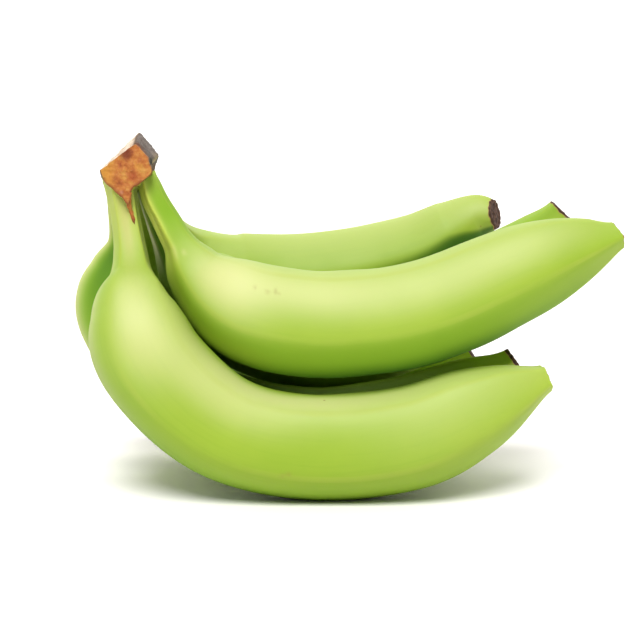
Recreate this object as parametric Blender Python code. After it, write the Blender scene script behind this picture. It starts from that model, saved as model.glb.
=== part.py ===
"""A hand of six green bananas, still joined at the crown.

Each banana is a loft along its own curved centreline: a slim stalk that swells into a blunt
body with five soft ridges, and narrows again to the blossom end. The crown is the woody wedge
that the stalks grow from, with a socket for each of them. The hand lies on the undersides of
the three outer bananas, which have a small flat rest spot there.

The frame: +X from the stalks to the tips, +Y to the back, +Z up, origin on the table under the
middle of the hand. Sizes below are in millimetres.
"""
from dataclasses import dataclass

import bmesh
import bpy
import numpy as np

MM = 0.001

# Gap between pieces that touch, and how far a socket reaches past its stalk's end
CLEARANCE = 0.3
SOCKET_DEPTH = 24.0
SOCKET_RINGS = 8

# The loft: rings along a banana, sides around it, and how much closer the rings stand at the ends
RINGS = 33
SIDES = 20
END_CROWDING = 0.08

# Five ridges, each this share of the radius high
RIDGES = 5
RIDGE_HEIGHT = 0.03

# Length over which a stalk's thickening at the crown dies away
FLARE_LENGTH = 5.0

# The blossom end's face bulges a little: one narrower ring in front of the last one
NOSE_SHARE = 0.72
NOSE_LENGTH = 0.8

# Points kept on each span of a centreline before it is spaced out evenly
SPAN_POINTS = 60

# Edges folded more than this stay sharp: the rims of the end faces
SHARP_FOLD = np.radians(40)

# The table's height: the outer bananas sink to just below it, and are cut flat there
TABLE = 0.0
SNAP = 0.01

PEEL_ROUGHNESS = 0.42
CROWN_ROUGHNESS = 0.8

COLLECTION = "banana_hand"
CUTTERS = "socket_cutters"


@dataclass
class Banana:
    """One banana: its centreline from crown to tip and its girth, in millimetres."""

    name: str
    path: list
    colour: tuple
    radius: float = 18.0
    stalk: float = 5.4
    flare: float = 0.6
    swell_at: float = 45.0
    swell_power: float = 4.4
    tip: float = 5.0
    taper: float = 21.5
    taper_power: float = 1.8
    ridge_turn: float = -25.0
    rests: bool = False


BANANAS = [
    Banana(
        name="finger_outer_front",
        path=[
            (-82, -25, 115), (-80, -25, 103.5), (-77.5, -28, 91.5), (-76.5, -33, 81),
            (-75.5, -39.5, 68.5), (-68.5, -44, 50), (-44.5, -44.5, 27.5), (-11, -44, 19),
            (24.5, -43, 22.5), (46.5, -41, 31), (64, -39, 38.9), (74.6, -37, 43.3),
        ],
        colour=(0.39, 0.60, 0.07),
        radius=19.2,
        stalk=5.5,
        flare=0.9,
        swell_at=47.0,
        swell_power=3.8,
        tip=5.2,
        taper=20.5,
        taper_power=1.35,
        rests=True,
    ),
    Banana(
        name="finger_outer_middle",
        path=[
            (-84, -10, 116.5), (-83, -9, 103), (-82.5, -8, 91), (-85.5, -7, 82),
            (-86.5, -6, 74), (-84, -5, 64.5), (-72.5, -5, 45), (-47, -4, 24.5),
            (-16, -4, 17.5), (15.5, -4, 20), (38.5, -4, 26.5), (57.5, -5, 39.5),
            (67, -5, 46),
        ],
        colour=(0.30, 0.52, 0.05),
        radius=17.6,
        stalk=5.0,
        flare=-0.2,
        swell_at=41.0,
        swell_power=5.0,
        taper=19.0,
        rests=True,
    ),
    Banana(
        name="finger_outer_rear",
        path=[
            (-85.5, 6, 116.5), (-82.5, 10, 105), (-81.5, 18.5, 92), (-86, 30.5, 69),
            (-74, 35, 43.5), (-49.5, 36, 24), (-20.5, 36, 17.5), (4.5, 36, 19),
            (29, 35, 27.5), (45.5, 34, 37.5), (54, 33, 43.5),
        ],
        colour=(0.28, 0.48, 0.05),
        radius=17.5,
        stalk=5.0,
        flare=-0.2,
        rests=True,
    ),
    Banana(
        name="finger_inner_front",
        path=[
            (-71.5, -23.5, 116), (-69, -23, 108.5), (-65, -23, 101), (-60.5, -24.5, 93),
            (-51.5, -26.5, 79), (-35.5, -31, 68.5), (-11, -35.5, 63.5), (9, -37, 64.5),
            (26.5, -37, 67.5), (42.5, -36, 72.5), (59.5, -35, 80), (79.5, -34, 88.5),
            (101, -33, 96),
        ],
        colour=(0.45, 0.63, 0.10),
        radius=19.3,
        stalk=4.8,
        flare=-1.4,
        swell_at=46.0,
        swell_power=3.7,
        tip=5.2,
        taper=22.5,
        taper_power=1.2,
        ridge_turn=-14.0,
    ),
    Banana(
        name="finger_inner_middle",
        path=[
            (-75, -7, 116.5), (-72.5, -6, 107.5), (-68.5, -2, 95), (-60.2, 3.2, 79.5),
            (-49.4, 4.1, 70.3), (-37.6, 7.2, 59), (-26, 12, 53), (-12, 15.5, 49.2),
            (6, 15.5, 50.6), (24, 14, 57), (44, 9, 66.5), (65.5, 2, 82), (77.5, 0, 96),
            (84.5, -1, 103.5),
        ],
        colour=(0.38, 0.58, 0.08),
        stalk=4.6,
        flare=-1.0,
    ),
    Banana(
        name="finger_inner_rear",
        path=[
            (-76, 8, 117), (-73, 14, 107), (-67.5, 23, 95.5), (-60.5, 33, 85.4),
            (-47, 40, 75.7), (-29, 44, 73.6), (-8, 45, 74.5), (13, 45, 77.8),
            (33.5, 43, 84.1), (47.7, 40.2, 93), (57.2, 36.5, 99.7), (63.2, 33.6, 101.1),
        ],
        colour=(0.38, 0.58, 0.08),
        radius=18.4,
        stalk=4.6,
        flare=-1.0,
        tip=5.8,
        swell_at=48.0,
        taper=18.0,
        taper_power=1.12,
    ),
]

# The crown's cross-section at four stations, front to back: the table of (x, z) corners goes
# from the upper left corner over the top and down the right side, and back along the underside
# to the left. The front station is the cut face, which leans back a little towards its top.
CROWN_COLOUR = (0.56, 0.19, 0.04)
CUT_FACE_FOOT = -32.8
CUT_FACE_LEAN = 0.1
CUT_FACE_FOOT_HEIGHT = 107.0
CROWN_SECTIONS = [
    (None, [(-88.6, 119.1), (-76.6, 128.9), (-71.1, 122.8), (-69.1, 117.7),
            (-75.7, 113.6), (-80.0, 107.0), (-87.5, 114.4), (-88.8, 117.3)]),
    (-17.5, [(-89.6, 119.8), (-76.4, 131.4), (-68.2, 124.0), (-70.6, 118.0),
             (-75.5, 112.4), (-81.0, 109.0), (-88.6, 112.6), (-90.0, 117.0)]),
    (0.5, [(-90.2, 119.8), (-77.4, 132.8), (-70.0, 124.2), (-71.8, 117.4),
           (-76.8, 112.2), (-83.0, 108.8), (-89.4, 112.4), (-90.8, 117.0)]),
    (13.0, [(-89.6, 119.0), (-79.0, 132.8), (-71.4, 124.2), (-72.6, 118.0),
            (-78.0, 113.0), (-83.4, 110.0), (-89.0, 113.2), (-90.2, 117.2)]),
]


def clear_scene():
    """Remove every object of the start-up scene."""
    for item in list(bpy.data.objects):
        bpy.data.objects.remove(item, do_unlink=True)


def new_collection(name):
    """A collection linked to the scene."""
    collection = bpy.data.collections.new(name)
    bpy.context.scene.collection.children.link(collection)
    return collection


def surface_material(name, colour, roughness):
    """A plain Principled material of one colour."""
    material = bpy.data.materials.new(name)
    material.use_nodes = True
    shader = material.node_tree.nodes["Principled BSDF"]
    shader.inputs["Base Color"].default_value = (*colour, 1.0)
    shader.inputs["Roughness"].default_value = roughness
    shader.inputs["Metallic"].default_value = 0.0
    return material


def smooth_path(points):
    """Dense centripetal Catmull-Rom curve through the points, and the length up to each of its points."""
    knots = np.array(points, dtype=float)
    knots = np.vstack([2 * knots[0] - knots[1], knots, 2 * knots[-1] - knots[-2]])
    spans = []
    for start in range(len(knots) - 3):
        p0, p1, p2, p3 = knots[start:start + 4]
        t1 = np.linalg.norm(p1 - p0) ** 0.5
        t2 = t1 + np.linalg.norm(p2 - p1) ** 0.5
        t3 = t2 + np.linalg.norm(p3 - p2) ** 0.5
        last = start == len(knots) - 4
        t = np.linspace(t1, t2, SPAN_POINTS, endpoint=last)[:, None]
        a1 = (t1 - t) / t1 * p0 + t / t1 * p1
        a2 = (t2 - t) / (t2 - t1) * p1 + (t - t1) / (t2 - t1) * p2
        a3 = (t3 - t) / (t3 - t2) * p2 + (t - t2) / (t3 - t2) * p3
        b1 = (t2 - t) / t2 * a1 + t / t2 * a2
        b2 = (t3 - t) / (t3 - t1) * a2 + (t - t1) / (t3 - t1) * a3
        spans.append((t2 - t) / (t2 - t1) * b1 + (t - t1) / (t2 - t1) * b2)
    curve = np.vstack(spans)
    steps = np.linalg.norm(np.diff(curve, axis=0), axis=1)
    return curve, np.concatenate([[0.0], np.cumsum(steps)])


def ring_stations(length):
    """Distances of the rings from the crown end, closer together at both ends."""
    share = np.linspace(0.0, 1.0, RINGS)
    return length * (share - END_CROWDING * np.sin(2 * np.pi * share))


def girth(banana, distance, length):
    """Radius at a distance from the crown end.

    The stalk, a little thicker or thinner at its root, swells to the full radius in a soft
    step, and the whole shrinks to the tip's radius over the last stretch.
    """
    swell = 1 - np.exp(-(distance / banana.swell_at) ** banana.swell_power)
    narrow = 1 - np.exp(-((length - distance) / banana.taper) ** banana.taper_power)
    root = banana.flare * np.exp(-distance / FLARE_LENGTH)
    body = banana.stalk + root + (banana.radius - banana.stalk) * swell
    return banana.tip + (body - banana.tip) * narrow


def rings_of(banana, stations=None, extra=0.0, overshoot=0.0):
    """Rings of points along a banana, each in the plane across its centreline.

    extra is added to every radius, and overshoot moves the first ring back into the crown.
    """
    curve, along = smooth_path(banana.path)
    length = along[-1]
    if stations is None:
        stations = ring_stations(length)
    centre = np.stack([np.interp(stations, along, curve[:, axis]) for axis in range(3)], axis=1)
    slope = np.gradient(curve, along, axis=0)
    tangent = np.stack([np.interp(stations, along, slope[:, axis]) for axis in range(3)], axis=1)
    tangent /= np.linalg.norm(tangent, axis=1)[:, None]
    centre[0] -= tangent[0] * overshoot
    inward = np.cross(tangent, (0.0, 1.0, 0.0))
    inward /= np.linalg.norm(inward, axis=1)[:, None]
    forward = np.cross(tangent, inward)
    angle = np.radians(banana.ridge_turn) + np.linspace(0, 2 * np.pi, SIDES, endpoint=False)
    ridge = 1 + RIDGE_HEIGHT * np.cos(RIDGES * (angle - np.radians(banana.ridge_turn)))
    radius = girth(banana, stations, length)[:, None] * ridge + extra
    return (
        centre[:, None, :]
        + (radius * np.cos(angle))[..., None] * forward[:, None, :]
        + (radius * np.sin(angle))[..., None] * inward[:, None, :]
    )


def loft(name, rings, collection):
    """A closed solid through rings of equally many points, with a flat cap at each end."""
    bm = bmesh.new()
    loops = [[bm.verts.new(point * MM) for point in ring] for ring in np.asarray(rings)]
    for low, high in zip(loops[:-1], loops[1:]):
        for k in range(len(low)):
            n = (k + 1) % len(low)
            bm.faces.new((low[k], low[n], high[n], high[k]))
    bm.faces.new(loops[0])
    bm.faces.new(loops[-1])
    bmesh.ops.recalc_face_normals(bm, faces=bm.faces[:])
    mesh = bpy.data.meshes.new(name)
    bm.to_mesh(mesh)
    bm.free()
    item = bpy.data.objects.new(name, mesh)
    collection.objects.link(item)
    return item


def cut_rest_spot(item):
    """Cut a solid off flat at the table's height."""
    bm = bmesh.new()
    bm.from_mesh(item.data)
    result = bmesh.ops.bisect_plane(
        bm,
        geom=bm.verts[:] + bm.edges[:] + bm.faces[:],
        dist=SNAP * MM,
        plane_co=(0.0, 0.0, TABLE * MM),
        plane_no=(0.0, 0.0, 1.0),
        clear_inner=True,
    )
    rim = [part for part in result["geom_cut"] if isinstance(part, bmesh.types.BMEdge)]
    bmesh.ops.contextual_create(bm, geom=rim)
    bmesh.ops.recalc_face_normals(bm, faces=bm.faces[:])
    bm.to_mesh(item.data)
    bm.free()


def make_banana(banana, collection):
    """The banana's solid, with its rest spot if it lies on the table."""
    rings = rings_of(banana)
    last, before = rings[-1].mean(axis=0), rings[-2].mean(axis=0)
    onward = (last - before) / np.linalg.norm(last - before)
    nose = last + NOSE_SHARE * (rings[-1] - last) + NOSE_LENGTH * onward
    item = loft(banana.name, np.concatenate([rings, nose[None]]), collection)
    if banana.rests:
        cut_rest_spot(item)
    item.data.shade_smooth()
    item.data.set_sharp_from_angle(angle=SHARP_FOLD)
    item.data.materials.append(surface_material(banana.name + "_peel", banana.colour, PEEL_ROUGHNESS))
    return item


def make_socket_cutter(banana, collection):
    """The space that a banana's stalk takes in the crown, with clearance all round."""
    stations = np.linspace(0.0, SOCKET_DEPTH, SOCKET_RINGS)
    rings = rings_of(banana, stations, extra=CLEARANCE, overshoot=CLEARANCE)
    cutter = loft(banana.name + "_socket", rings, collection)
    cutter.hide_render = True
    cutter.display_type = "WIRE"
    return cutter


def make_crown(collection, cutters):
    """The woody wedge between the stalks, with a socket cut for every banana."""
    rings = []
    for station, corners in CROWN_SECTIONS:
        ring = []
        for x, z in corners:
            cut_y = CUT_FACE_FOOT + CUT_FACE_LEAN * (z - CUT_FACE_FOOT_HEIGHT)
            ring.append((x, cut_y if station is None else station, z))
        rings.append(ring)
    crown = loft("crown", rings, collection)
    crown.data.materials.append(surface_material("crown_wood", CROWN_COLOUR, CROWN_ROUGHNESS))
    for cutter in cutters:
        socket = crown.modifiers.new(cutter.name, "BOOLEAN")
        socket.operation = "DIFFERENCE"
        socket.solver = "EXACT"
        socket.object = cutter
    return crown


def main():
    clear_scene()
    hand = new_collection(COLLECTION)
    tools = new_collection(CUTTERS)
    cutters = []
    for banana in BANANAS:
        make_banana(banana, hand)
        cutters.append(make_socket_cutter(banana, tools))
    make_crown(hand, cutters)


main()
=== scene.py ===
"""Looks of a hand of six green bananas that are still joined at the crown.

Each banana is a numpy surface along its centreline, with the ridges, neck and dried blossom end of
a real one; the crown is a surface through outlines that change from the cut face to its back.
Sizes in the tables are millimetres. The finished meshes, the materials and the stage use metres.
"""
from dataclasses import dataclass

import bpy
import numpy as np
from bpy.props import FloatProperty, FloatVectorProperty, IntProperty, PointerProperty
from bpy.types import Operator, Panel, PropertyGroup
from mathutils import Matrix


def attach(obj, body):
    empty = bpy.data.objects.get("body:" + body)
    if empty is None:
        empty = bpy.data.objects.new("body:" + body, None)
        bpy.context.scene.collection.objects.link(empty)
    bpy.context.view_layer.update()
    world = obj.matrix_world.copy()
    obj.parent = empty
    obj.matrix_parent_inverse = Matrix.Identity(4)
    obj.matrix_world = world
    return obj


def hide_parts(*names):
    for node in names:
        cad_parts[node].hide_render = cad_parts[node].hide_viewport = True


bl_info = {
    "name": "Green banana hand",
    "version": (1, 0, 0),
    "blender": (4, 5, 0),
    "location": "3D View > Sidebar > Bananas",
    "description": "Builds the peels, the crown and the studio of a hand of green bananas",
    "category": "Add Mesh",
}

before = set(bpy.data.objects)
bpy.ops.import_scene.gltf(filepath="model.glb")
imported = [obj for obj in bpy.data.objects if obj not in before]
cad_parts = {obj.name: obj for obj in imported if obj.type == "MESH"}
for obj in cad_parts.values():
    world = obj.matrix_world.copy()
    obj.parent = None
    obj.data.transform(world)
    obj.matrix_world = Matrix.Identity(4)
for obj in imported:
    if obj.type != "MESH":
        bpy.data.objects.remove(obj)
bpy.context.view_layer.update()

MM = 0.001
TAU = 2 * np.pi


def linear(code):
    """Linear RGBA of an sRGB hex colour."""
    values = np.array([int(code[start:start + 2], 16) for start in (1, 3, 5)]) / 255
    curved = ((values + 0.055) / 1.055) ** 2.4
    return (*np.where(values <= 0.04045, values / 12.92, curved).tolist(), 1.0)


@dataclass
class Banana:
    """One banana: its centreline from crown to tip, its girth and its marks.

    Lengths are millimetres and angles are degrees, measured from the front towards the inside of
    the bend. The girth grows from stalk to radius round swell_at and narrows to tip over taper;
    flare is the stalk's extra girth at the crown, and neck_step the crease at neck_at. The first
    ridge stands at ridge_turn, twisted along the stalk by stalk_twist. Ridges are higher towards
    ridge_side, and by the share tip_ridge near the tip. slant tilts the end face by a share of the
    radius, tip_twist turns the patches near it, rim is how far its scar reaches back, wave scales
    the slow unevenness, and tone goes from 0 for a yellower to 1 for a greener peel.
    """

    node: str
    piece: str
    slot: str
    path: list
    radius: float = 18.0
    stalk: float = 5.4
    flare: float = 0.6
    swell_at: float = 45.0
    swell_power: float = 4.4
    tip: float = 5.0
    taper: float = 21.5
    taper_power: float = 1.8
    ridge_turn: float = -25.0
    ridge_side: float = 0.0
    tip_ridge: float = 1.1
    slant: float = 0.0
    stalk_twist: float = -15.0
    tip_twist: float = 0.0
    neck_at: float = 32.0
    neck_step: float = 0.0
    rim: float = 0.25
    wave: float = 1.0
    seed: int = 1
    tone: float = 0.0
    # Tints of the peel: its own patches and flecks, and painted highlights, painted whitish rims and
    # painted shade
    tints: tuple = ()


# Colours of the soft patches on the peels: cream, pale, moss and beige mostly stand for painted light
# and painted highlights, leaf, deep, dark and olive mostly for painted shade, and fleck for brown
# flecks of the peel
TINT_COLOURS = {
    "cream": "#d7d698",
    "pale": "#b6c472",
    "leaf": "#7ba417",
    "deep": "#4a7608",
    "dark": "#2e5c04",
    "olive": "#7c8c18",
    "moss": "#ced858",
    "beige": "#c4c07c",
    "fleck": "#8d7a34",
}

# Dark tints, mostly painted shade, where the skin is also made rougher, with little wax shine
DULL_TINTS = ("leaf", "deep", "dark", "olive")

# A tint is (colour, distance from the root, angle from the front to the inside, half length,
# half angle, share), with the sharpness of its sides where they follow a ridge
OUTER_BANANAS = [
    Banana(
        node="finger_outer_front",
        piece="peel_outer_front",
        slot="peel_pale",
        path=[
            (-82, -25, 115), (-80.2, -25, 103.5), (-78.1, -28, 91.5), (-76.8, -33, 81),
            (-75.5, -39.5, 68.5), (-68.5, -44, 50), (-44.5, -44.5, 27.5), (-11, -44, 19),
            (24.5, -43, 22.5), (46.5, -41, 31), (64, -39, 38.9), (74.6, -37, 43.3),
        ],
        radius=19.2,
        stalk=5.3,
        flare=0.7,
        swell_at=47.0,
        swell_power=4.6,
        ridge_side=45.0,
        stalk_twist=2.0,
        tip=5.2,
        taper=20.5,
        taper_power=1.35,
        neck_at=38.5,
        neck_step=0.55,
        rim=-0.2,
        seed=3,
        # Tints: painted shade on the stalk's right facet (olive) and on the lower side and belly (both
        # leaf, deep), a painted highlight on the stalk's front (beige), painted highlights on the
        # shoulder and along the bend (cream at 58 and 92), painted light with a paler peel on the top
        # and near the tip (pale, cream at 125), a painted whitish rim reflection on the outer side
        # (cream at 56), and two brown flecks of the peel itself
        tints=(
            ("olive", 14, 100, 32, 50, 0.8, 8),
            ("beige", 18, 4, 15, 22, 0.6),
            ("cream", 56, -75, 26, 24, 0.5),
            ("pale", 130, 62, 80, 30, 0.6),
            ("cream", 125, 68, 60, 18, 0.5),
            ("cream", 58, 8, 19, 32, 0.55),
            ("cream", 92, 36, 34, 24, 0.35),
            ("pale", 195, 40, 34, 50, 0.5),
            ("leaf", 125, -75, 60, 34, 0.5),
            ("deep", 122, -96, 62, 28, 0.75),
            ("leaf", 74, -48, 36, 34, 0.3),
            ("fleck", 131, -21, 1.0, 2.5, 0.45),
            ("fleck", 129, -24, 0.8, 3, 0.35),
        ),
    ),
    Banana(
        node="finger_outer_middle",
        piece="peel_outer_middle",
        slot="peel_dark",
        path=[
            (-84, -10, 116.5), (-83, -9, 103), (-82.5, -8, 91), (-85.5, -7, 82),
            (-86.5, -6, 74), (-84, -5, 64.5), (-72.5, -5, 45), (-47, -4, 24.5),
            (-16, -4, 17.5), (15.5, -4, 20), (38.5, -4, 26.5), (57.5, -5, 39.5),
            (67, -5, 46),
        ],
        radius=17.6,
        stalk=5.0,
        flare=-0.2,
        swell_at=41.0,
        swell_power=5.0,
        taper=19.0,
        ridge_turn=6.0,
        rim=1.4,
        seed=11,
        tone=0.6,
        # Tints: painted shade on the side that faces the front banana (leaf, deep) and on the inner
        # side in the dark gap (dark), and a painted whitish rim reflection on the outer side (cream)
        tints=(
            ("leaf", 44, -26, 34, 32, 0.95, 5),
            ("dark", 80, 64, 50, 64, 0.9),
            ("deep", 28, -18, 26, 34, 0.95),
            ("cream", 46, -84, 34, 25, 0.7),
        ),
    ),
    Banana(
        node="finger_outer_rear",
        piece="peel_outer_rear",
        slot="peel_dark",
        path=[
            (-85.5, 6, 116.5), (-82.5, 10, 105), (-81.5, 18.5, 92), (-86, 30.5, 69),
            (-74, 35, 43.5), (-49.5, 36, 24), (-20.5, 36, 17.5), (4.5, 36, 19),
            (29, 35, 27.5), (45.5, 34, 37.5), (54, 33, 43.5),
        ],
        radius=17.5,
        stalk=5.0,
        flare=-0.2,
        seed=23,
        tone=0.5,
    ),
]
INNER_BANANAS = [
    Banana(
        node="finger_inner_front",
        piece="peel_inner_front",
        slot="peel_pale",
        path=[
            (-71.5, -23.5, 116), (-69, -23, 108.5), (-65, -23, 101), (-60.5, -24.5, 93),
            (-51.5, -26.5, 79), (-35.5, -31, 68.5), (-11, -35.5, 63.5), (9, -37, 64.5),
            (26.5, -37, 67.5), (42.5, -36, 72.5), (59.5, -35, 80), (79.5, -34, 88.5),
            (101, -33, 96),
        ],
        radius=19.3,
        stalk=4.8,
        flare=-1.4,
        swell_at=46.0,
        swell_power=3.7,
        tip=5.2,
        taper=22.5,
        taper_power=1.2,
        ridge_turn=-14.0,
        ridge_side=-85.0,
        slant=0.3,
        stalk_twist=-11.0,
        neck_at=31.0,
        neck_step=0.6,
        rim=-0.2,
        seed=31,
        # Tints: painted light with a paler peel along the upper side (pale, cream at 150), painted
        # light on the stalk's left facet and the lower left (moss), painted highlights on the shoulder
        # (cream at 54 and 84) and on the stalk's ridge and neck crease (beige), painted shade on the
        # lower facet and on the underside that faces the front lower banana (leaf at 114, deep, dark),
        # the stalk's greener right facet and a greener patch near the tip (leaf), and four brown flecks
        # of the peel itself
        tints=(
            ("pale", 120, 55, 84, 44, 0.6),
            ("leaf", 13, 36, 18, 54, 0.95, 6),
            ("moss", 16, -59, 17, 40, 0.95, 6),
            ("cream", 54, 26, 19, 38, 0.66),
            ("cream", 84, 40, 30, 24, 0.35),
            ("cream", 150, 30, 50, 26, 0.2),
            ("leaf", 114, -52, 66, 37, 0.9, 7),
            ("deep", 126, -84, 56, 32, 0.9),
            ("moss", 54, -62, 18, 20, 0.3),
            ("dark", 106, -90, 42, 24, 0.7),
            ("beige", 29.5, -20, 3.0, 8, 0.4),
            ("beige", 31.2, 4, 1.3, 7, 0.35),
            ("leaf", 204, 10, 13, 70, 0.4),
            ("fleck", 67, 33, 0.7, 2.5, 0.3),
            ("fleck", 72.6, 32, 1.1, 2, 0.38),
            ("fleck", 75.4, 35, 0.7, 3.5, 0.42),
            ("fleck", 76.8, 33, 0.8, 2, 0.3),
        ),
    ),
    Banana(
        node="finger_inner_middle",
        piece="peel_inner_middle",
        slot="peel_mid",
        path=[
            (-75, -7, 116.5), (-72.5, -6, 107.5), (-68.5, -2, 95), (-60.2, 3.2, 79.5),
            (-49.4, 4.1, 70.3), (-37.6, 7.2, 59), (-26, 12, 53), (-12, 15.5, 49.2),
            (6, 15.5, 50.6), (24, 14, 57), (44, 9, 66.5), (65.5, 2, 82), (77.5, 0, 96),
            (84.5, -1, 103.5),
        ],
        stalk=4.6,
        flare=-1.0,
        rim=0.8,
        wave=0.5,
        seed=43,
        tone=0.1,
        # Tints: painted shade on the stalk's left side between the front stalks (deep), a painted light
        # strip on that stalk's left ridge (cream), and a greener patch near the tip (leaf)
        tints=(
            ("deep", 26, -20, 24, 60, 0.9),
            ("cream", 22, -66, 10, 26, 0.95, 4),
            ("leaf", 206, 50, 20, 60, 0.6),
        ),
    ),
    Banana(
        node="finger_inner_rear",
        piece="peel_inner_rear",
        slot="peel_mid",
        path=[
            (-76, 8, 117), (-73, 14, 107), (-67.5, 23, 95.5), (-60.5, 33, 85.4),
            (-47, 40, 75.7), (-29, 44, 73.6), (-8, 45, 74.5), (13, 45, 77.8),
            (33.5, 43, 84.1), (47.7, 40.2, 93), (57.2, 36.5, 99.5), (63.3, 33.6, 100.8),
        ],
        radius=18.4,
        stalk=4.6,
        flare=-1.0,
        tip=6.0,
        swell_at=48.0,
        taper=18.0,
        taper_power=1.12,
        ridge_turn=3.0,
        tip_ridge=-0.7,
        tip_twist=-50.0,
        rim=0.9,
        wave=0.3,
        seed=59,
        # Tints: painted light with a paler peel along the upper side (pale), and painted shade under
        # the ridge near the tip (dark)
        tints=(
            ("pale", 120, 75, 100, 46, 0.75),
            ("dark", 164, -32, 40, 38, 0.95, 10),
        ),
    ),
]

# Lengths along a banana over which its forms die away
FLARE_LENGTH = 5.0
NECK_LENGTH = 4.5
TWIST_LENGTH = 45.0
TIP_TWIST_LENGTH = 10.0
STALK_RIDGE_LENGTH = 34.0
TIP_RIDGE_LENGTH = 24.0
SLANT_LENGTH = 9.0
TORN_LENGTH = 3.0

# The slow waves start past the stalk and grow to their full height
WAVE_START = 25.0
WAVE_GROWTH = 40.0

# The torn blossom end: size and height of its bumps, and how ragged and soft the scar's edge is
TORN_BUMP = 2.6
TORN_HEIGHT = 0.11
SCAR_RAGGED = 0.22
SCAR_EDGE = 0.8

# How square a tint's edge is, where 2 would be a plain bell
TINT_EDGE = 2.4

# Length of the stalk's root inside the crown
ROOT_HIDDEN = 2.0

# Points in each span of a centreline, and how closely the rings crowd at its ends
SPAN_POINTS = 60
END_CROWDING = 0.09

# Blossom end, from the rim to the middle: (share of the tip's radius, how far it stands out)
BLOSSOM_END = [
    (0.985, 0.16), (0.955, 0.28), (0.91, 0.34), (0.86, 0.32), (0.80, 0.20), (0.73, 0.05),
    (0.66, -0.05), (0.58, -0.05), (0.50, 0.02), (0.41, 0.08), (0.32, 0.15), (0.24, 0.21),
    (0.16, 0.26), (0.09, 0.29), (0.04, 0.30),
]

# Slow unevenness of a peel: (lobes round it, wavelength along it, height)
PEEL_WAVES = [(0, 95, 0.22), (1, 62, 0.20), (2, 47, 0.16), (3, 36, 0.10), (2, 24, 0.06)]

# Plane of the cut face: its depth at the foot, that foot's height, and the lean backwards
CUT_FACE_FOOT = -32.8
CUT_FACE_FOOT_HEIGHT = 107.0
CUT_FACE_LEAN = 0.1

# Outline of the cut face in (x, z): eight sides, clockwise from its left corner
CUT_FACE_SIDES = [
    [(-87.9, 119.1), (-86.2, 120.4), (-81.4, 124.1), (-75.9, 128.5)],
    [(-75.9, 128.5), (-75.0, 128.3), (-72.8, 125.9), (-70.8, 123.3)],
    [(-70.8, 123.3), (-69.7, 119.9), (-69.5, 118.6)],
    [(-69.5, 118.6), (-70.3, 117.2), (-73.1, 114.8), (-75.0, 113.6), (-76.1, 113.0)],
    [(-76.1, 113.0), (-77.0, 111.2), (-77.2, 108.6), (-77.7, 106.6)],
    [(-77.7, 106.6), (-78.7, 107.0), (-79.8, 108.8), (-82.8, 111.4), (-85.0, 113.6), (-86.1, 114.3)],
    [(-86.1, 114.3), (-86.8, 115.1), (-87.5, 117.3)],
    [(-87.5, 117.3), (-87.9, 118.4), (-87.9, 119.1)],
]

# Behind it, the (x, z) corners between the same sides at three depths
CROWN_CORNERS = [
    (-17.5, [(-89.2, 119.8), (-76.2, 132.4), (-68.2, 124.2), (-72.4, 119.4),
             (-75.5, 112.4), (-81.0, 109.0), (-88.6, 112.6), (-89.8, 117.0)]),
    (0.5, [(-90.0, 119.8), (-77.2, 133.5), (-70.0, 124.4), (-73.0, 118.6),
           (-76.8, 112.2), (-83.0, 108.8), (-89.4, 112.4), (-90.6, 117.0)]),
    (13.0, [(-89.4, 119.0), (-79.0, 133.3), (-71.4, 124.4), (-73.4, 118.6),
            (-78.0, 113.0), (-83.4, 110.0), (-88.8, 113.2), (-90.0, 117.2)]),
]
CROWN_MIDDLE = (-79.0, 118.5)

# The cut face keeps its outline over this depth, and grows a little on the way
PLATE_DEPTH = 1.6
PLATE_GROWTH = 1.02

# Rings of the crown: from the middle to the edge of an end, in the plate, and along the rest
CAP_RINGS = 46
PLATE_RINGS = 6
WALL_RINGS = 70

# Rings behind the edge up to which the cut colour is full, and up to which it fades
CUT_RINGS = 3
HALF_CUT_RINGS = 6

# How far the back of the crown bulges
BACK_BULGE = 1.2

# The crown's unevenness: (seed, wavelength, share of the relief)
CROWN_BUMPS = [(5, 5.0, 1.0), (6, 2.2, 0.6), (7, 1.1, 0.35)]

# Torn strip that hangs from the cut face over the front stalk: (z, left x, right x)
TORN_STRIP = [
    (111.0, -80.6, -76.6), (108.8, -79.8, -77.0), (106.6, -78.7, -77.0), (104.4, -78.2, -76.7),
    (102.6, -77.6, -76.2), (101.2, -77.1, -75.9), (100.2, -76.6, -75.9), (99.5, -76.2, -75.95),
]

# Heights between which it goes over from the stalk's front to the cut face, and its bumps
STRIP_LEAVES_STALK = 104.0
STRIP_ON_FACE = 109.0
STRIP_BUMP_HEIGHT = 0.08

# Stage, in metres: the floor just below the fruit, and the camera's place and its tilt from
# looking straight down
FLOOR_HEIGHT = -0.0001
CAMERA_PLACE = (-0.008, -0.60271, 0.12422)
CAMERA_TILT = np.radians(84)


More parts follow.
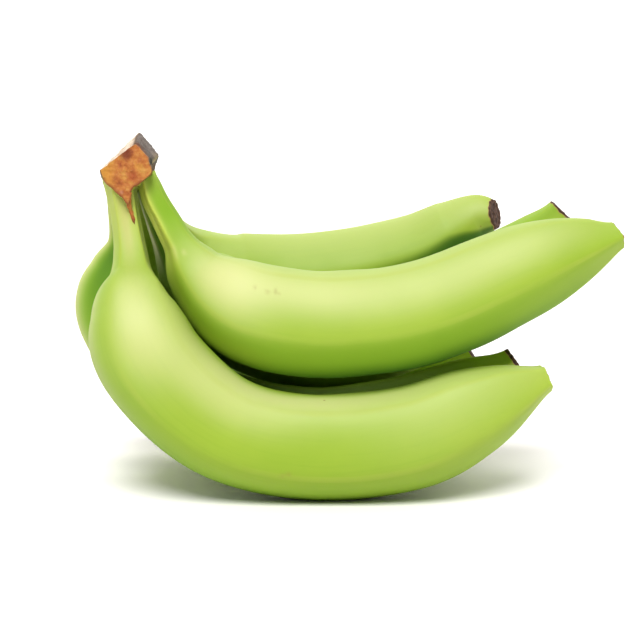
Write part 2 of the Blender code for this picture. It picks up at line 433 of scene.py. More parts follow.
class PeelSettings(PropertyGroup):
    """Sizes and colours of the banana peels."""

    rings: IntProperty(
        name="Rings", description="Rings of points along each banana", default=330, min=60, max=600
    )
    sides: IntProperty(
        name="Sides", description="Points round each banana", default=120, min=40, max=240
    )
    ridge: FloatProperty(
        name="Ridge", description="Height of the five ridges as a share of the radius",
        default=0.03, min=0.0, max=0.1,
    )
    stalk_ridge: FloatProperty(
        name="Stalk ridge", description="Height of the ridges on the stalk as a share of its radius",
        default=0.085, min=0.0, max=0.2,
    )
    green: FloatVectorProperty(
        name="Green", description="Colour of the unripe peel", subtype="COLOR", size=4,
        default=linear("#93ae2a"), min=0.0, max=1.0,
    )
    deep_green: FloatVectorProperty(
        name="Deep green", description="Colour of the greenest parts of the peel", subtype="COLOR",
        size=4, default=linear("#7ca01a"), min=0.0, max=1.0,
    )
    stalk_green: FloatVectorProperty(
        name="Stalk", description="Colour of the stalks", subtype="COLOR", size=4,
        default=linear("#abb850"), min=0.0, max=1.0,
    )
    scar: FloatVectorProperty(
        name="Scar", description="Colour of the dried blossom ends", subtype="COLOR", size=4,
        default=linear("#3d281d"), min=0.0, max=1.0,
    )


class CrownSettings(PropertyGroup):
    """Sizes and colours of the crown."""

    columns: IntProperty(
        name="Columns", description="Points round the crown's outline", default=320, min=80, max=640
    )
    relief: FloatProperty(
        name="Relief", description="Height of the crown's unevenness", subtype="DISTANCE",
        unit="LENGTH", default=0.00016, min=0.0, max=0.002,
    )
    dried_grey: FloatVectorProperty(
        name="Dried skin", description="Colour of the dried top", subtype="COLOR", size=4,
        default=linear("#5d534c"), min=0.0, max=1.0,
    )


class StageSettings(PropertyGroup):
    """Floor, light and camera."""

    floor_size: FloatProperty(
        name="Floor", description="Width of the pale floor", subtype="DISTANCE", unit="LENGTH",
        default=6.0, min=1.0, max=20.0,
    )
    key_strength: FloatProperty(
        name="Key light", description="Light that falls on a square metre facing the softbox, in watts",
        default=3.55, min=0.0, max=50.0,
    )
    key_height: FloatProperty(
        name="Key height", description="Angle of the softbox above the floor", subtype="ANGLE",
        default=np.radians(53).item(), min=0.0, max=TAU / 4,
    )
    key_side: FloatProperty(
        name="Key side", description="Angle of the softbox to the camera's left", subtype="ANGLE",
        default=np.radians(6).item(), min=-TAU / 4, max=TAU / 4,
    )
    key_width: FloatProperty(
        name="Key width", description="Angle that the softbox fills, seen from the fruit",
        subtype="ANGLE", default=np.radians(30).item(), min=0.0, max=TAU / 4,
    )
    wall_strength: FloatProperty(
        name="Back wall", description="Brightness of the white wall behind the fruit",
        default=1.6, min=0.0, max=5.0,
    )
    room_strength: FloatProperty(
        name="Room", description="Brightness of the dimmer room in front of the fruit",
        default=0.16, min=0.0, max=5.0,
    )
    focal_length: FloatProperty(
        name="Focal length", description="Focal length of the camera in millimetres",
        default=87.75, min=20.0, max=200.0,
    )


def add(tree, kind, inputs=None, stops=None, **settings):
    """A new node with its settings, its colour stops and its sockets' values or links."""
    node = tree.nodes.new(kind)
    for key, value in settings.items():
        setattr(node, key, value)
    if stops:
        elements = node.color_ramp.elements
        while len(elements) < len(stops):
            elements.new(1.0)
        for element, (place, code) in zip(elements, stops):
            element.position = place
            element.color = linear(code)
    for key, value in (inputs or {}).items():
        socket = node.inputs[key]
        if isinstance(value, bpy.types.NodeSocket):
            tree.links.new(value, socket)
        else:
            socket.default_value = value
    return node


def new_material(name):
    """An empty node tree with its Principled shader, and the material it belongs to."""
    material = bpy.data.materials.new(name)
    material.use_nodes = True
    tree = material.node_tree
    return material, tree, tree.nodes["Principled BSDF"]


def blended(tree, share, first, second):
    """Colour output that goes from first to second by share."""
    node = add(tree, "ShaderNodeMix", {0: share, 6: first, 7: second}, data_type="RGBA")
    return node.outputs[2]


def ranged(tree, value, low, high, start=0.0, end=1.0):
    """Output that goes smoothly from start to end while value goes from low to high."""
    inputs = {"Value": value, "From Min": low, "From Max": high, "To Min": start, "To Max": end}
    node = add(tree, "ShaderNodeMapRange", inputs, interpolation_type="SMOOTHSTEP")
    return node.outputs["Result"]


def product(tree, first, second):
    """Output with the product of two values."""
    return add(tree, "ShaderNodeMath", {0: first, 1: second}, operation="MULTIPLY").outputs[0]


def unripe_peel(name, settings, tone):
    """Unripe banana peel: a satin, waxy skin, yellow-green, paler along ridges and stalk.

    The wax gives broad soft highlights and whitish edges, and the tints add painted highlights,
    painted whitish rims and painted shade. Patterns read the straightened banana's coordinates, which
    the piece carries as an attribute, so they follow its bend.
    """
    material, tree, shader = new_material(name)
    straight = add(tree, "ShaderNodeAttribute", attribute_name="straight").outputs["Vector"]
    marks = {
        key: add(tree, "ShaderNodeAttribute", attribute_name=key).outputs["Fac"]
        for key in ("crest", "from_root", "from_tip", "scar", "tint_share", "dull")
    }
    # Cloudy patches about 30 mm across, fibres 1.5 mm wide that run along the fruit
    cloud = add(tree, "ShaderNodeTexNoise", {"Vector": straight, "Scale": 30.0, "Detail": 3.0})
    along = add(tree, "ShaderNodeMapping", {"Vector": straight, "Scale": (0.05, 1.0, 1.0)})
    fibre = add(
        tree, "ShaderNodeTexNoise",
        {"Vector": along.outputs[0], "Scale": 620.0, "Detail": 3.0, "Roughness": 0.6},
    )
    green, deep = settings.green[:], settings.deep_green[:]
    patches = ranged(tree, cloud.outputs["Fac"], 0.35, 0.68, tone, 0.35 + 0.65 * tone)
    body = blended(tree, patches, green, deep)
    body = blended(tree, ranged(tree, fibre.outputs["Fac"], 0.45, 0.75, 0.0, 0.22), body, deep)
    stalk_share = ranged(tree, marks["from_root"], 6.0, 42.0, 0.85, 0.0)
    body = blended(tree, stalk_share, body, settings.stalk_green[:])
    neck_share = ranged(tree, marks["from_tip"], 2.0, 24.0, 0.4 * (1 - tone), 0.0)
    body = blended(tree, neck_share, body, linear("#abbc44"))
    # The tints hold the peel's own patches and flecks, and painted highlights, painted whitish rims and
    # painted shade
    tint = add(tree, "ShaderNodeAttribute", attribute_name="tint").outputs["Color"]
    body = blended(tree, marks["tint_share"], body, tint)
    # The ridges show as slightly yellower lines, stronger where the cloud noise is high
    ridge = product(
        tree, ranged(tree, marks["crest"], 0.9, 1.0),
        ranged(tree, cloud.outputs["Fac"], 0.35, 0.65, 0.0, 0.3),
    )
    body = blended(tree, ridge, body, linear("#aab648"))
    # Small brown specks, about 1 mm wide, where the peel was rubbed
    cell = add(tree, "ShaderNodeTexVoronoi", {"Vector": straight, "Scale": 62.0, "Randomness": 1.0})
    chosen = add(
        tree, "ShaderNodeSeparateColor", {"Color": cell.outputs["Color"]}
    ).outputs["Red"]
    speck = product(
        tree, ranged(tree, cell.outputs["Distance"], 0.02, 0.045, 1.0, 0.0),
        ranged(tree, chosen, 0.78, 0.82, 0.0, 0.6),
    )
    body = blended(tree, speck, body, linear("#8a6a2c"))
    # Dried blossom end: nearly black brown, with lighter crumbs and an orange-brown rim
    crumbs = add(tree, "ShaderNodeTexNoise", {"Vector": straight, "Scale": 900.0, "Detail": 5.0})
    crumb_share = ranged(tree, crumbs.outputs["Fac"], 0.4, 0.7, 0.0, 0.7)
    dry = blended(tree, crumb_share, settings.scar[:], linear("#6f5040"))
    rim = ranged(tree, marks["scar"], 0.12, 0.45)
    body = blended(tree, rim, body, linear("#a98350"))
    body = blended(tree, ranged(tree, marks["scar"], 0.4, 0.72), body, dry)
    tree.links.new(body, shader.inputs["Base Color"])
    shader.inputs["IOR"].default_value = 1.42
    rough = ranged(tree, cloud.outputs["Fac"], 0.3, 0.7, 0.52, 0.58)
    for share, value in ((marks["dull"], 0.78), (marks["scar"], 0.85)):
        mixed = add(tree, "ShaderNodeMix", {0: share, 2: rough, 3: value}, data_type="FLOAT")
        rough = mixed.outputs[0]
    tree.links.new(rough, shader.inputs["Roughness"])
    shader.inputs["Subsurface Weight"].default_value = 0.12
    shader.inputs["Subsurface Radius"].default_value = (0.6, 1.0, 0.2)
    shader.inputs["Subsurface Scale"].default_value = 0.0025
    relief = add(
        tree, "ShaderNodeBump",
        {"Height": fibre.outputs["Fac"], "Strength": 0.06, "Distance": 0.0004},
    )
    tree.links.new(relief.outputs["Normal"], shader.inputs["Normal"])
    return material


def spotted(tree, place, colour, spots):
    """A colour with soft round spots, each given as centre, radius, greatest share and colour."""
    for centre, radius, most, code in spots:
        gap = add(tree, "ShaderNodeVectorMath", {0: place, 1: centre}, operation="DISTANCE")
        share = ranged(tree, gap.outputs["Value"], radius, radius * 0.3, 0.0, most)
        colour = blended(tree, share, colour, linear(code))
    return colour


def dried_crown(settings):
    """Cut and dried banana crown: pithy, fibrous and matt, orange-brown on the cut face.

    The slice along its upper left is pale beige, the old skin at its right is grey-brown, and the
    underside near the stalks is still green.
    """
    material, tree, shader = new_material("dried_banana_crown")
    place = add(tree, "ShaderNodeTexCoord").outputs["Object"]
    marks = {
        key: add(tree, "ShaderNodeAttribute", attribute_name=key).outputs["Fac"]
        for key in ("cut_face", "slice", "old_skin", "edge")
    }
    # Pith in clumps of 3 to 4 mm, and fibres under 1 mm
    clumps = add(
        tree, "ShaderNodeTexNoise", {"Vector": place, "Scale": 300.0, "Detail": 6.0, "Roughness": 0.62}
    ).outputs["Fac"]
    fibres = add(
        tree, "ShaderNodeTexNoise", {"Vector": place, "Scale": 1300.0, "Detail": 5.0, "Roughness": 0.6}
    ).outputs["Fac"]
    cut = add(
        tree, "ShaderNodeValToRGB", {"Fac": clumps},
        stops=[(0.30, "#84421a"), (0.42, "#a25a25"), (0.54, "#af6c2e"), (0.68, "#b9853a")],
    ).outputs["Color"]
    cut = blended(tree, ranged(tree, fibres, 0.52, 0.72, 0.0, 0.3), cut, linear("#c99a5e"))
    cut = blended(tree, ranged(tree, fibres, 0.42, 0.30, 0.0, 0.35), cut, linear("#7e3a1a"))
    axes = add(tree, "ShaderNodeSeparateXYZ", {"Vector": place}).outputs
    cut = blended(tree, ranged(tree, axes["X"], -0.0815, -0.0865, 0.0, 0.7), cut, linear("#c08a2e"))
    # A dark smudge and two small marks near the top, a red, a yellow and a pale patch, a dark tip
    cut = spotted(tree, place, cut, (
        ((-0.0787, -0.031, 0.1250), 0.0033, 0.85, "#6a2a12"),
        ((-0.0809, -0.031, 0.1212), 0.0008, 0.6, "#8a3a1c"),
        ((-0.0778, -0.031, 0.1206), 0.0007, 0.6, "#8a3a1c"),
        ((-0.0760, -0.031, 0.1165), 0.0026, 0.65, "#96401a"),
        ((-0.0742, -0.031, 0.1205), 0.0022, 0.6, "#c58a38"),
        ((-0.0803, -0.032, 0.1110), 0.0012, 0.5, "#b98468"),
        ((-0.0761, -0.0315, 0.0995), 0.0028, 0.85, "#5e3a1c"),
    ))
    cut = blended(tree, ranged(tree, marks["edge"], 0.82, 1.0, 0.0, 0.7), cut, linear("#6f3a1a"))
    green = blended(tree, ranged(tree, clumps, 0.4, 0.6), linear("#a9bd45"), linear("#9a8a3c"))
    skin = blended(tree, ranged(tree, axes["Z"], 0.1125, 0.118), green, linear("#5f4426"))
    cream = blended(tree, ranged(tree, clumps, 0.42, 0.7), linear("#dccbb6"), linear("#b3987a"))
    old = blended(tree, ranged(tree, clumps, 0.35, 0.65), settings.dried_grey[:], linear("#776b63"))
    old = blended(tree, ranged(tree, fibres, 0.5, 0.36, 0.0, 0.6), old, linear("#3c2c22"))
    # A brown stain by the tip of the cut face, a pale corner with a dark notch, a dark lower end
    old = spotted(tree, place, old, (
        ((-0.0738, -0.030, 0.1274), 0.0054, 0.8, "#5c2c10"),
        ((-0.0690, -0.0190, 0.1206), 0.0062, 0.75, "#c0a884"),
        ((-0.0700, -0.0272, 0.1214), 0.0040, 0.95, "#242408"),
        ((-0.0694, -0.0299, 0.1180), 0.0042, 0.9, "#3c2614"),
    ))
    colour = blended(tree, marks["old_skin"], skin, old)
    colour = blended(tree, marks["slice"], colour, cream)
    colour = blended(tree, marks["cut_face"], colour, cut)
    tree.links.new(colour, shader.inputs["Base Color"])
    shader.inputs["Roughness"].default_value = 0.72
    shader.inputs["Specular IOR Level"].default_value = 0.35
    rough = add(tree, "ShaderNodeBump", {"Height": fibres, "Strength": 0.25, "Distance": 0.0003})
    tree.links.new(rough.outputs["Normal"], shader.inputs["Normal"])
    return material


def plain_material(name, code, roughness):
    """A material of one colour."""
    material, _, shader = new_material(name)
    shader.inputs["Base Color"].default_value = linear(code)
    shader.inputs["Roughness"].default_value = roughness
    return material


def smooth_path(points):
    """Dense centripetal Catmull-Rom curve through the points, and the length up to each of its points.

    Each span blends the two parabolas through its neighbours, with knots the root of the gap apart.
    """
    knots = np.array(points, dtype=float)
    knots = np.vstack([2 * knots[0] - knots[1], knots, 2 * knots[-1] - knots[-2]])
    spans = []
    for start in range(len(knots) - 3):
        p0, p1, p2, p3 = knots[start:start + 4]
        t1 = np.linalg.norm(p1 - p0) ** 0.5
        t2 = t1 + np.linalg.norm(p2 - p1) ** 0.5
        t3 = t2 + np.linalg.norm(p3 - p2) ** 0.5
        last = start == len(knots) - 4
        t = np.linspace(t1, t2, SPAN_POINTS, endpoint=last)[:, None]
        a1 = (t1 - t) / t1 * p0 + t / t1 * p1
        a2 = (t2 - t) / (t2 - t1) * p1 + (t - t1) / (t2 - t1) * p2
        a3 = (t3 - t) / (t3 - t2) * p2 + (t - t2) / (t3 - t2) * p3
        b1 = (t2 - t) / t2 * a1 + t / t2 * a2
        b2 = (t3 - t) / (t3 - t1) * a2 + (t - t1) / (t3 - t1) * a3
        spans.append((t2 - t) / (t2 - t1) * b1 + (t - t1) / (t2 - t1) * b2)
    curve = np.vstack(spans)
    steps = np.linalg.norm(np.diff(curve, axis=0), axis=1)
    return curve, np.concatenate([[0.0], np.cumsum(steps)])


def centreline(banana, stations):
    """Centre, tangent, front and inside directions at distances from the root.

    The inside direction is across the tangent and the depth axis, towards the hollow of the bend;
    the front direction is across both.
    """
    curve, along = smooth_path(banana.path)
    slope = np.gradient(curve, along, axis=0)
    inner = np.clip(stations, 0.0, along[-1])
    centre = np.stack([np.interp(inner, along, curve[:, axis]) for axis in range(3)], axis=1)
    tangent = np.stack([np.interp(inner, along, slope[:, axis]) for axis in range(3)], axis=1)
    tangent /= np.linalg.norm(tangent, axis=1)[:, None]
    centre += (stations - inner)[:, None] * tangent
    inside = np.cross(tangent, (0.0, 1.0, 0.0))
    inside /= np.linalg.norm(inside, axis=1)[:, None]
    return centre, tangent, np.cross(tangent, inside), inside


def path_length(banana):
    """Length of a banana's centreline."""
    return smooth_path(banana.path)[1][-1]


def girth(banana, distance, length):
    """Radius at a distance from the root: a soft step from stalk to body, less the tip's taper."""
    distance = np.maximum(distance, 0.0)
    swell = 1 - np.exp(-(distance / banana.swell_at) ** banana.swell_power)
    left = np.maximum(length - distance, 0.0)
    narrow = 1 - np.exp(-(left / banana.taper) ** banana.taper_power)
    root = banana.flare * np.exp(-distance / FLARE_LENGTH)
    past_neck = (distance - banana.neck_at) / NECK_LENGTH
    crease = banana.neck_step * past_neck * np.exp(0.5 - past_neck ** 2 / 2)
    body = banana.stalk + root + crease + (banana.radius - banana.stalk) * swell
    return banana.tip + (body - banana.tip) * narrow


def tip_turn(banana, distance):
    """Angle by which the tints are turned close to the blossom end."""
    left = np.maximum(path_length(banana) - distance, 0.0)
    return np.radians(banana.tip_twist * np.exp(-(left / TIP_TWIST_LENGTH) ** 2))


def ridge_start(banana, distance):
    """Angle of the first ridge at a distance from the root, which twists along the stalk."""
    return np.radians(banana.ridge_turn + banana.stalk_twist * np.exp(-(distance / TWIST_LENGTH) ** 2))


def tint_layers(banana, distance, angle):
    """Colour, share and dullness of the tints: each lies over those before it, as a soft-edged bell."""
    angle = angle - tip_turn(banana, distance)
    colour = np.zeros((*angle.shape, 3))
    share = np.zeros(angle.shape)
    dull = np.zeros(angle.shape)
    for name, place, turn, reach, spread, most, *sharp in banana.tints:
        swing = np.abs(np.degrees(np.angle(np.exp(1j * (angle - np.radians(turn))))) / spread)
        swing = swing ** (sharp[0] if sharp else TINT_EDGE)
        part = most * np.exp(-np.abs((distance - place) / reach) ** TINT_EDGE - swing)
        tint = np.array(linear(TINT_COLOURS[name])[:3])
        colour = colour * (1 - part[..., None]) + tint * part[..., None]
        share = share * (1 - part) + part
        dull = dull * (1 - part) + part * (name in DULL_TINTS)
    return colour / np.maximum(share, 1e-6)[..., None], share, dull


def slow_waves(seed, distance, angle):
    """Sum of waves along and round the fruit, each with its own seeded phases."""
    phases = np.random.default_rng(seed).uniform(0, TAU, (len(PEEL_WAVES), 2))
    waves = [
        height * np.cos(lobes * angle + turn) * np.cos(TAU * distance / wavelength + shift)
        for (lobes, wavelength, height), (turn, shift) in zip(PEEL_WAVES, phases)
    ]
    return np.sum(waves, axis=0)


def rough_noise(points, seed, wavelength, terms=14):
    """Smooth random field: the mean of sine waves in seeded directions of about one wavelength."""
    rng = np.random.default_rng(seed)
    directions = rng.normal(size=(terms, 3))
    directions /= np.linalg.norm(directions, axis=1)[:, None]
    speeds = TAU / (wavelength * rng.uniform(0.7, 1.4, terms))
    phases = rng.uniform(0, TAU, terms)
    waves = np.sin(points @ (directions * speeds[:, None]).T + phases)
    return waves.sum(axis=-1) / np.sqrt(terms / 2)


def closed_mesh(name, grid, poles, layers):
    """Closed surface through rings of points in millimetres, with a pole beyond each end.

    layers holds values for each grid point, which become attributes of the mesh.
    """
    rows, columns = grid.shape[:2]
    points = np.concatenate([poles[:1], grid.reshape(-1, 3), poles[1:]])
    index = 1 + np.arange(rows * columns).reshape(rows, columns)
    after = np.roll(index, -1, axis=1)
    quads = np.stack([index[:-1], after[:-1], after[1:], index[1:]], axis=-1).reshape(-1, 4)
    first = np.stack([np.zeros(columns, int), after[0], index[0]], axis=-1)
    last = np.stack([np.full(columns, len(points) - 1), index[-1], after[-1]], axis=-1)
    corners = points[quads]
    volume = np.einsum("ij,ij->", corners[:, 0], np.cross(corners[:, 1], corners[:, 2]))
    volume += np.einsum("ij,ij->", corners[:, 0], np.cross(corners[:, 2], corners[:, 3]))
    if volume < 0:
        quads, first, last = quads[:, ::-1], first[:, ::-1], last[:, ::-1]
    mesh = bpy.data.meshes.new(name)
    mesh.from_pydata((points * MM).tolist(), [], quads.tolist() + first.tolist() + last.tolist())
    for key, values in layers.items():
        size = values.shape[2:]
        flat = values.reshape(rows * columns, *size)
        flat = np.concatenate([flat[:columns].mean(0)[None], flat, flat[-columns:].mean(0)[None]])
        kind, field = ("FLOAT_VECTOR", "vector") if size else ("FLOAT", "value")
        layer = mesh.attributes.new(key, kind, "POINT")
        layer.data.foreach_set(field, flat.astype(np.float32).ravel())
    mesh.shade_smooth()
    mesh.update()
    piece = bpy.data.objects.new(name, mesh)
    bpy.context.scene.collection.objects.link(piece)
    return piece


def peel_grid(banana, settings):
    """Points of one banana's surface, with the distance, angle, crest, radius and scar of each.

    Point = centre + radius * (cos(angle) * front + sin(angle) * inside). The radius is the girth
    times five crests, soft on the body and keen on the stalk, plus slow waves; past the tip it
    follows the blossom end's profile, roughened. The underside is pressed flat on the table.
    """
    length = path_length(banana)
    share = np.linspace(0.0, 1.0, settings.rings)
    stations = length * (share - END_CROWDING * np.sin(TAU * share))
    stations = np.concatenate([[-ROOT_HIDDEN], stations])
    profile = np.array(BLOSSOM_END)
    rows = len(stations) + len(profile)
    distance = np.concatenate([stations, length + profile[:, 1]])
    shrink = np.concatenate([np.ones(len(stations)), profile[:, 0]])
    centre, tangent, front, inside = centreline(banana, distance)
    round_it = np.linspace(0, TAU, settings.sides, endpoint=False)[None, :]
    angle = ridge_start(banana, distance)[:, None] + round_it
    crest = np.cos(5 * round_it) * np.ones((rows, 1))
    soft = crest + 0.1 * np.cos(10 * round_it)
    keen = 1 - 2 * np.abs(np.sin(2.5 * round_it)) ** 1.1
    left = np.maximum(length - distance, 0.0)
    on_stalk = np.exp(-(np.maximum(distance, 0.0) / STALK_RIDGE_LENGTH) ** 3)
    near_tip = np.exp(-(left / TIP_RIDGE_LENGTH) ** 2)
    height = settings.ridge * (1 + banana.tip_ridge * near_tip)
    height = height + (settings.stalk_ridge - height) * on_stalk
    shape = soft + (keen - soft) * (0.3 + 0.7 * on_stalk[:, None])
    side = np.cos(angle - np.radians(banana.ridge_side))
    section = 1 + height[:, None] * shape * (1 + (0.15 + 0.65 * on_stalk[:, None]) * side)
    radius = (girth(banana, distance, length) * shrink)[:, None] * section
    uneven = np.clip(np.minimum(distance - WAVE_START, left) / WAVE_GROWTH, 0.0, 1.0)[:, None]
    radius = radius + banana.wave * uneven * slow_waves(banana.seed, distance[:, None], angle)
    across = (
        (radius * np.cos(angle))[..., None] * front[:, None, :]
        + (radius * np.sin(angle))[..., None] * inside[:, None, :]
    )
    grid = centre[:, None, :] + across
    # The end face and the last of the rim are torn and uneven, and a slanted end stands back inside
    torn = np.clip(1 - left / TORN_LENGTH, 0.0, 1.0)[:, None]
    bumps = rough_noise(grid, banana.seed, TORN_BUMP)
    slanted = np.clip(1 - left / SLANT_LENGTH, 0.0, 1.0)[:, None]
    back = banana.slant * radius * np.clip(np.sin(angle), 0.0, 1.0) * slanted
    grid = grid + (TORN_HEIGHT * torn * bumps - back)[..., None] * tangent[:, None, :]
    grid[..., 2] = np.maximum(grid[..., 2], 0.0)
    past_rim = distance[:, None] - length + banana.rim + SCAR_RAGGED * bumps
    scar = np.clip(past_rim / SCAR_EDGE, 0.0, 1.0)
    scar[len(stations) + 1:] = 1.0
    distance = distance[:, None] * np.ones((1, settings.sides))
    return grid, distance, angle, crest, radius, scar


def peel_surface(banana, settings):
    """One banana's closed surface, with what its material reads."""
    grid, distance, angle, crest, radius, scar = peel_grid(banana, settings)
    tint, tint_share, dull = tint_layers(banana, distance, angle)
    straight = np.stack([distance, radius * np.cos(angle), radius * np.sin(angle)], axis=-1)
    layers = {
        "straight": straight * MM + banana.seed,
        "crest": crest,
        "from_root": distance,
        "from_tip": np.maximum(path_length(banana) - distance, 0.0),
        "scar": scar,
        "tint": tint,
        "tint_share": tint_share,
        "dull": dull,
    }
    poles = np.stack([grid[0].mean(axis=0), grid[-1].mean(axis=0)])
    return closed_mesh(banana.piece, grid, poles, layers)


def resample(line, count):
    """Points spaced evenly along a polyline, without its last point."""
    line = np.asarray(line, dtype=float)
    steps = np.linalg.norm(np.diff(line, axis=0), axis=1)
    along = np.concatenate([[0.0], np.cumsum(steps)])
    places = np.linspace(0.0, along[-1], count, endpoint=False)
    return np.stack([np.interp(places, along, line[:, axis]) for axis in range(line.shape[1])], axis=1)


def rounded(ring, reach):
    """Closed outline with its corners eased: the mean of each point's neighbours up to reach."""
    return np.mean([np.roll(ring, step, axis=0) for step in range(-reach, reach + 1)], axis=0)


def face_depth(height):
    """Depth of the cut face at a height."""
    return CUT_FACE_FOOT + CUT_FACE_LEAN * (height - CUT_FACE_FOOT_HEIGHT)


def crown_surface(settings):
    """Closed surface of the crown, with what its material reads.

    Outlines in x and z, eight sides each, stand at depths from the cut face to the back; every
    outline point moves on a straight line from one to the next. The ends shrink to the middle,
    and everything is roughened by random waves.
    """
    sides = len(CUT_FACE_SIDES)
    count = settings.columns // sides
    face = np.concatenate([resample(side, count) for side in CUT_FACE_SIDES])
    plate = rounded(face, 2)
    plate_depth = face_depth(plate[:, 1])
    middle = np.array(CROWN_MIDDLE)
    outlines = [plate, middle + PLATE_GROWTH * (plate - middle)]
    depths = [plate_depth, plate_depth + PLATE_DEPTH]
    for depth, corners in CROWN_CORNERS:
        loop = corners + corners[:1]
        ring = np.concatenate([resample(pair, count) for pair in zip(loop[:-1], loop[1:])])
        outlines.append(rounded(ring, 5))
        depths.append(np.full(len(ring), depth))
    outlines, depths = np.array(outlines), np.array(depths)
    # The plate keeps its shape over its own depth, then the outline changes evenly
    steps = np.concatenate([
        np.linspace(0, 1, PLATE_RINGS, endpoint=False),
        np.linspace(1, len(outlines) - 1, WALL_RINGS),
    ])
    low = np.minimum(steps.astype(int), len(outlines) - 2)
    part = (steps - low)[:, None]
    walls = outlines[low] * (1 - part[..., None]) + outlines[low + 1] * part[..., None]
    wall_depths = depths[low] * (1 - part) + depths[low + 1] * part
    wall = np.stack([walls[..., 0], wall_depths, walls[..., 1]], axis=-1)
    shrink = np.linspace(0.02, 1.0, CAP_RINGS, endpoint=False)
    face_ring, back_ring = wall[0], wall[-1]
    face_middle = np.array([middle[0], face_depth(middle[1]), middle[1]])
    back_middle = back_ring.mean(axis=0)
    cap = face_middle + shrink[:, None, None] * (face_ring - face_middle)
    ease = np.sqrt(1 - shrink[::-1] ** 8)
    back = back_middle + shrink[::-1, None, None] * (back_ring - back_middle)
    back[..., 1] += BACK_BULGE * ease[:, None]
    grid = np.concatenate([cap, wall, back])
    rows = len(grid)
    relief = settings.relief / MM
    bumps = sum(share * rough_noise(grid, seed, wavelength) for seed, wavelength, share in CROWN_BUMPS)
    outward = grid - np.array([middle[0], 0.0, middle[1]])
    outward[..., 1] = 0.0
    outward /= np.linalg.norm(outward, axis=-1)[..., None] + 1e-6
    in_cap = np.arange(rows) < len(cap)
    in_back = np.arange(rows) >= len(cap) + len(wall)
    push = np.where((in_cap | in_back)[:, None, None], (0.0, 1.0, 0.0), outward)
    signs = np.where(in_cap, -1.0, 1.0)[:, None, None]
    fade = np.ones(rows)
    fade[:len(cap)] = 1 - shrink ** 6
    fade[len(cap):len(cap) + PLATE_RINGS] = 0.5
    grid = grid + relief * signs * (bumps * fade[:, None])[..., None] * push
    side_of = (np.arange(count * sides) / count)[None, :]
    depth_row = np.arange(rows)[:, None]
    cut = np.where(depth_row < len(cap) + HALF_CUT_RINGS, 0.6, 0.0)
    cut[:len(cap) + CUT_RINGS] = 1.0
    edge = np.zeros((rows, 1))
    edge[:len(cap), 0] = shrink
    edge[len(cap):len(cap) + HALF_CUT_RINGS] = 1.0
    wide = np.ones((rows, count * sides))
    behind = (depth_row >= len(cap) + CUT_RINGS) * 1.0
    # Which part of the way round a mark covers, counted in sides, with soft ends
    lower = np.clip(np.minimum(side_of - 3.2, 7.0 - side_of) * 3, 0.0, 1.0)
    top_left = np.clip(np.minimum(side_of + 0.05, 1.0 - side_of) * 12, 0.0, 1.0)
    top_right = np.clip(np.minimum(side_of - 0.96, 2.6 - side_of) * 8, 0.0, 1.0)
    layers = {
        "cut_face": cut * wide,
        "edge": edge * (0.35 + 0.65 * lower),
        "slice": behind * top_left * wide,
        "old_skin": behind * top_right * wide,
    }
    poles = np.stack([face_middle, back.mean(axis=(0, 1))])
    poles[1, 1] = grid[-1, :, 1].mean()
    return closed_mesh("crown_dried", grid, poles, layers)


def torn_strip_surface(banana, settings):
    """Thin strip that narrows downwards on the front stalk.

    Each height has a flat ring: x = middle + half width * cos(turn), and the depth is the peel's
    front there less a low dome, so that its back is inside the stalk.
    """
    table = np.array(TORN_STRIP)
    heights = np.linspace(table[0, 0], table[-1, 0], 60)
    left = np.interp(-heights, -table[:, 0], table[:, 1])
    right = np.interp(-heights, -table[:, 0], table[:, 2])
    turn = np.linspace(0, TAU, 40, endpoint=False)
    x = ((left + right) / 2)[:, None] + ((right - left) / 2)[:, None] * np.cos(turn)
    peel, distance, angle, *_ = peel_grid(banana, settings)
    near = (distance < 30.0) & (np.cos(angle) > 0.0)
    peel = peel[near]
    gap = (x[..., None] - peel[:, 0]) ** 2 + (heights[:, None, None] - peel[:, 2]) ** 2
    weight = 1 / (gap + 0.02) ** 2
    stalk_front = (weight * peel[:, 1]).sum(axis=-1) / weight.sum(axis=-1)
    near_face = (heights - STRIP_LEAVES_STALK) / (STRIP_ON_FACE - STRIP_LEAVES_STALK)
    near_face = np.clip(near_face, 0.0, 1.0)[:, None]
    # Its middle is sunk by 0.4 mm in the cut face and stands 0.1 mm before the stalk
    base = near_face * (face_depth(heights)[:, None] + 0.4) + (1 - near_face) * (stalk_front - 0.1)
    tip_height, top_height = table[-1, 0], table[0, 0]
    thick = np.interp(heights, [tip_height, tip_height + 2.5, top_height], [0.25, 0.6, 0.7])[:, None]
    y = base - thick * np.where(np.sin(turn) > 0, np.sin(turn), 1.3 * np.sin(turn))
    grid = np.stack([x, y, heights[:, None] * np.ones_like(x)], axis=-1)
    grid[..., 0] += STRIP_BUMP_HEIGHT * rough_noise(grid, 8, 2.0)
    grid[..., 1] += STRIP_BUMP_HEIGHT * rough_noise(grid, 9, 1.4)
    ones = np.ones(x.shape)
    layers = {"cut_face": ones, "edge": 0.2 * ones, "slice": 0 * ones, "old_skin": 0 * ones}
    poles = np.stack([grid[0].mean(axis=0), grid[-1].mean(axis=0)])
    return closed_mesh("crown_torn_strip", grid, poles, layers)


class BananaPieces:
    """What the two banana operators share."""

    bananas = ()

    def execute(self, context):
        settings = context.scene.peel_settings
        for banana in self.bananas:
            piece = peel_surface(banana, settings)
            piece.data.materials.append(unripe_peel(banana.piece + "_skin", settings, banana.tone))
            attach(piece, "root")
            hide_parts(banana.node)
        return {"FINISHED"}


class BANANAHAND_OT_outer(BananaPieces, Operator):
    """Build the three bananas of the lower, outer layer"""

    bl_idname = "bananahand.outer"
    bl_label = "Outer bananas"
    bananas = OUTER_BANANAS


class BANANAHAND_OT_inner(BananaPieces, Operator):
    """Build the three bananas of the upper, inner layer"""

    bl_idname = "bananahand.inner"
    bl_label = "Inner bananas"
    bananas = INNER_BANANAS


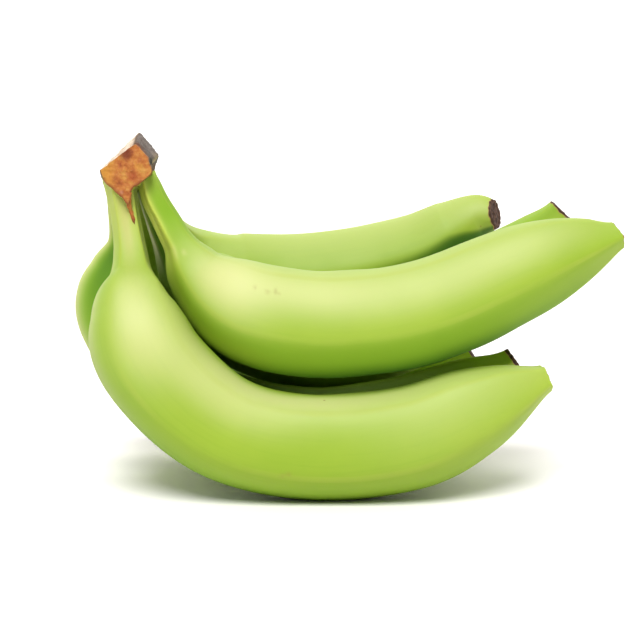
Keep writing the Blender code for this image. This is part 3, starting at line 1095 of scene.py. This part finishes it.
class BANANAHAND_OT_crown(Operator):
    """Build the dried crown and the strip torn from it"""

    bl_idname = "bananahand.crown"
    bl_label = "Crown"

    def execute(self, context):
        settings = context.scene.crown_settings
        wood = dried_crown(settings)
        crown = crown_surface(settings)
        strip = torn_strip_surface(OUTER_BANANAS[0], context.scene.peel_settings)
        for piece in (crown, strip):
            piece.data.materials.append(wood)
            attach(piece, "root")
        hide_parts("crown")
        return {"FINISHED"}


class BANANAHAND_OT_stage(Operator):
    """Build the pale floor, the soft light and the camera"""

    bl_idname = "bananahand.stage"
    bl_label = "Stage"

    def execute(self, context):
        scene, settings = context.scene, context.scene.stage_settings
        half = settings.floor_size / 2
        signs = ((-1, -1), (1, -1), (1, 1), (-1, 1))
        corners = [(half * x_sign, half * y_sign, FLOOR_HEIGHT) for x_sign, y_sign in signs]
        mesh = bpy.data.meshes.new("floor")
        mesh.from_pydata(corners, [], [(0, 1, 2, 3)])
        floor = bpy.data.objects.new("floor", mesh)
        scene.collection.objects.link(floor)
        mesh.materials.append(plain_material("white_paper", "#fefafb", 0.9))
        world = bpy.data.worlds.new("white_studio")
        scene.world = world
        world.use_nodes = True
        tree = world.node_tree
        background = tree.nodes["Background"]
        background.inputs["Color"].default_value = linear("#fffdfa")
        # A bright white wall behind the fruit, and a dimmer room towards and above the camera
        direction = add(tree, "ShaderNodeTexCoord").outputs["Generated"]
        backwards = add(tree, "ShaderNodeSeparateXYZ", {"Vector": direction}).outputs["Y"]
        strength = ranged(tree, backwards, -0.1, 0.55, settings.room_strength, settings.wall_strength)
        tree.links.new(strength, background.inputs["Strength"])
        # A softbox so far away that it lights the whole floor evenly is a wide sun
        lamp = bpy.data.lights.new("softbox", "SUN")
        lamp.angle = settings.key_width
        lamp.energy = settings.key_strength
        softbox = bpy.data.objects.new("softbox", lamp)
        softbox.location = (-0.1, -1.0, 1.0)
        softbox.rotation_euler = (TAU / 4 - settings.key_height, 0.0, -settings.key_side)
        scene.collection.objects.link(softbox)
        lens = bpy.data.cameras.new("camera")
        lens.lens = settings.focal_length
        lens.sensor_width = 36.0
        camera = bpy.data.objects.new("camera", lens)
        camera.location = CAMERA_PLACE
        camera.rotation_euler = (CAMERA_TILT, 0.0, 0.0)
        scene.collection.objects.link(camera)
        scene.camera = camera
        scene.view_settings.view_transform = "Standard"
        return {"FINISHED"}


class BANANAHAND_PT_panel(Panel):
    """Lists the sizes, the colours and the buttons of the banana hand"""

    bl_idname = "BANANAHAND_PT_panel"
    bl_label = "Green banana hand"
    bl_space_type = "VIEW_3D"
    bl_region_type = "UI"
    bl_category = "Bananas"

    def draw(self, context):
        for name in GROUPS:
            group = getattr(context.scene, name)
            box = self.layout.box()
            for key in group.bl_rna.properties.keys():
                if key not in ("rna_type", "name"):
                    box.prop(group, key)
        for operator in OPERATORS:
            self.layout.operator(operator.bl_idname)


GROUPS = {
    "peel_settings": PeelSettings,
    "crown_settings": CrownSettings,
    "stage_settings": StageSettings,
}
OPERATORS = (BANANAHAND_OT_outer, BANANAHAND_OT_inner, BANANAHAND_OT_crown, BANANAHAND_OT_stage)


def register():
    """Register the settings, the operators and the panel."""
    for name, group in GROUPS.items():
        bpy.utils.register_class(group)
        setattr(bpy.types.Scene, name, PointerProperty(type=group))
    for entry in (*OPERATORS, BANANAHAND_PT_panel):
        bpy.utils.register_class(entry)


def unregister():
    """Undo what register did."""
    for entry in (BANANAHAND_PT_panel, *reversed(OPERATORS)):
        bpy.utils.unregister_class(entry)
    for name, group in GROUPS.items():
        delattr(bpy.types.Scene, name)
        bpy.utils.unregister_class(group)


def main():
    """Build everything in order."""
    register()
    bpy.ops.bananahand.outer()
    bpy.ops.bananahand.inner()
    bpy.ops.bananahand.crown()
    bpy.ops.bananahand.stage()


if __name__ == "__main__":
    main()
